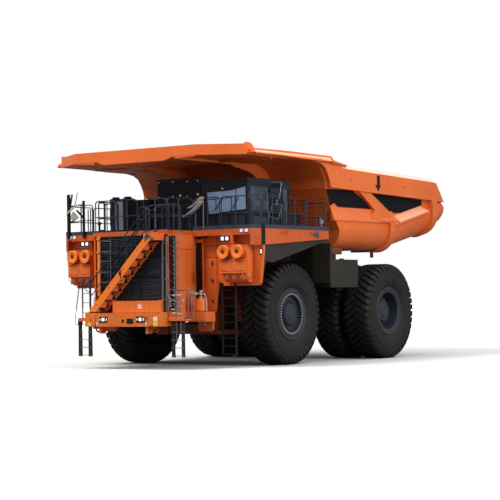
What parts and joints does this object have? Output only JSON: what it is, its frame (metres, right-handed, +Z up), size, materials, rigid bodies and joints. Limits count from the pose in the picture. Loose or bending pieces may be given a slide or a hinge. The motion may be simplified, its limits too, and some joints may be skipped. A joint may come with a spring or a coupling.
{
  "type": "mining dump truck",
  "caption": "Rigid-frame mining dump truck with a tipping bed and its canopy over the cab, twin rear tyres, side deck, stairs and railings.",
  "frame": {"origin": "on the ground, under the middle of the whole box with the bed down", "axes": "+X to the left side of the truck (the cab side), -Y forwards, +Z up"},
  "size_m": [8.76, 15.44, 7.565],
  "materials": {
    "orange_paint": "gloss orange paint with light dust",
    "frame_paint": "satin dark red-brown paint",
    "tank_paint": "satin olive grey paint",
    "dark_fittings": "satin blue-black paint",
    "cylinder_paint": "satin dark grey paint",
    "engine": "rough cast",
    "rod_chrome": "hard chrome",
    "rim": "satin blue-grey paint",
    "tyre": "matte rubber",
    "glass": "tinted glass",
    "interior": "moulded plastic and fabric"
  },
  "bodies": {
    "chassis": {"chassis_frame": "frame_paint", "engine_block": "engine", "radiator": "dark_fittings", "front_bumper": "orange_paint", "boarding_platforms": "orange_paint", "front_stairs": "orange_paint", "nose_panels": "orange_paint", "blower_boxes": "orange_paint", "deck": "orange_paint", "deck_supports": "orange_paint", "cab_shell": "dark_fittings", "cab_glass": "glass", "cab_interior": "interior", "deck_cabinets": "dark_fittings", "air_cleaners": "dark_fittings", "handrails": "dark_fittings", "mirrors": "dark_fittings", "side_tanks": "tank_paint", "front_suspension": "frame_paint", "rear_axle": "frame_paint", "steering_cylinders": "cylinder_paint"},
    "bed": {"bed_tub": "orange_paint", "bed_rails": "orange_paint", "bed_canopy": "orange_paint"},
    "door": {"cab_door": "dark_fittings", "cab_door_glass": "glass"},
    "knuckle_left_body": {"knuckle_left": "frame_paint"},
    "front_wheel_left": {"front_tyre_left": "tyre", "front_rim_left": "rim"},
    "rear_wheels_left": {"rear_tyres_left": "tyre", "rear_rims_left": "rim"},
    "steer_rod_left": {"steering_rod_left": "rod_chrome"},
    "hoist_barrel_left_body": {"hoist_barrel_left": "cylinder_paint"},
    "hoist_sleeve_left_body": {"hoist_sleeve_left": "rod_chrome"},
    "hoist_rod_left_body": {"hoist_rod_left": "rod_chrome"},
    "knuckle_right_body": {"knuckle_right": "frame_paint"},
    "front_wheel_right": {"front_tyre_right": "tyre", "front_rim_right": "rim"},
    "rear_wheels_right": {"rear_tyres_right": "tyre", "rear_rims_right": "rim"},
    "steer_rod_right": {"steering_rod_right": "rod_chrome"},
    "hoist_barrel_right_body": {"hoist_barrel_right": "cylinder_paint"},
    "hoist_sleeve_right_body": {"hoist_sleeve_right": "rod_chrome"},
    "hoist_rod_right_body": {"hoist_rod_right": "rod_chrome"},
    "tie_rod_body": {"tie_rod": "frame_paint"}
  },
  "joints": [
    {"name": "steer_left", "type": "hinge", "parent": "chassis", "child": "knuckle_left_body", "pos_m": [2.25, -2.62, 1.781], "axis": [0, 0, 1], "range_deg": [-35, 35]},
    {"name": "steer_right", "type": "hinge", "parent": "chassis", "child": "knuckle_right_body", "pos_m": [-2.25, -2.62, 1.781], "axis": [0, 0, 1], "range_deg": [-35.1, 35.1]},
    {"name": "tie_rod_pivot", "type": "hinge", "parent": "knuckle_left_body", "child": "tie_rod_body", "pos_m": [2.25, -2.02, 1.21], "axis": [0, 0, 1], "range_deg": [-35.1, 35.1]},
    {"name": "front_wheel_left_spin", "type": "hinge", "parent": "knuckle_left_body", "child": "front_wheel_left", "pos_m": [3.075, -2.62, 1.781], "axis": [1, 0, 0], "continuous": true},
    {"name": "rear_wheels_left_spin", "type": "hinge", "parent": "chassis", "child": "rear_wheels_left", "pos_m": [2.98, 3.2, 1.781], "axis": [1, 0, 0], "continuous": true},
    {"name": "steering_rod_left_slide", "type": "slide", "parent": "chassis", "child": "steer_rod_left", "axis": [1, 0, 0], "range_m": [-0.231, 0.231]},
    {"name": "front_wheel_right_spin", "type": "hinge", "parent": "knuckle_right_body", "child": "front_wheel_right", "pos_m": [-3.075, -2.62, 1.781], "axis": [1, 0, 0], "continuous": true},
    {"name": "rear_wheels_right_spin", "type": "hinge", "parent": "chassis", "child": "rear_wheels_right", "pos_m": [-2.98, 3.2, 1.781], "axis": [1, 0, 0], "continuous": true},
    {"name": "steering_rod_right_slide", "type": "slide", "parent": "chassis", "child": "steer_rod_right", "axis": [1, 0, 0], "range_m": [-0.231, 0.231]},
    {"name": "bed_tip", "type": "hinge", "parent": "chassis", "child": "bed", "pos_m": [0, 4.38, 3.35], "axis": [-1, 0, 0], "range_deg": [0, 45]},
    {"name": "hoist_left_swing", "type": "hinge", "parent": "chassis", "child": "hoist_barrel_left_body", "pos_m": [1.18, 0.58, 1.55], "axis": [-1, 0, 0], "range_deg": [0, 8.8]},
    {"name": "hoist_left_stage", "type": "slide", "parent": "hoist_barrel_left_body", "child": "hoist_sleeve_left_body", "axis": [0, 0.1915, 0.9815], "range_m": [0, 1.29]},
    {"name": "hoist_left_rod", "type": "slide", "parent": "hoist_sleeve_left_body", "child": "hoist_rod_left_body", "axis": [0, 0.1915, 0.9815], "range_m": [0, 1.29]},
    {"name": "hoist_right_swing", "type": "hinge", "parent": "chassis", "child": "hoist_barrel_right_body", "pos_m": [-1.18, 0.58, 1.55], "axis": [-1, 0, 0], "range_deg": [0, 8.8]},
    {"name": "hoist_right_stage", "type": "slide", "parent": "hoist_barrel_right_body", "child": "hoist_sleeve_right_body", "axis": [0, 0.1915, 0.9815], "range_m": [0, 1.29]},
    {"name": "hoist_right_rod", "type": "slide", "parent": "hoist_sleeve_right_body", "child": "hoist_rod_right_body", "axis": [0, 0.1915, 0.9815], "range_m": [0, 1.29]},
    {"name": "cab_door_swing", "type": "hinge", "parent": "chassis", "child": "door", "pos_m": [3.656, -3.29, 5.5], "axis": [0, 0, 1], "range_deg": [0, 60]}
  ],
  "couplings": [
    {"joint": "steer_right", "follows": "steer_left", "ratio": 1},
    {"joint": "tie_rod_pivot", "follows": "steer_left", "ratio": -1},
    {"joint": "steering_rod_left_slide", "follows": "steer_left", "m_per_rad": -0.3756},
    {"joint": "steering_rod_right_slide", "follows": "steer_left", "m_per_rad": -0.3756},
    {"joint": "hoist_left_swing", "follows": "bed_tip", "ratio": 0.19345},
    {"joint": "hoist_left_stage", "follows": "bed_tip", "m_per_rad": 1.6336},
    {"joint": "hoist_left_rod", "follows": "bed_tip", "m_per_rad": 1.6336},
    {"joint": "hoist_right_swing", "follows": "bed_tip", "ratio": 0.19345},
    {"joint": "hoist_right_stage", "follows": "bed_tip", "m_per_rad": 1.6336},
    {"joint": "hoist_right_rod", "follows": "bed_tip", "m_per_rad": 1.6336}
  ]
}
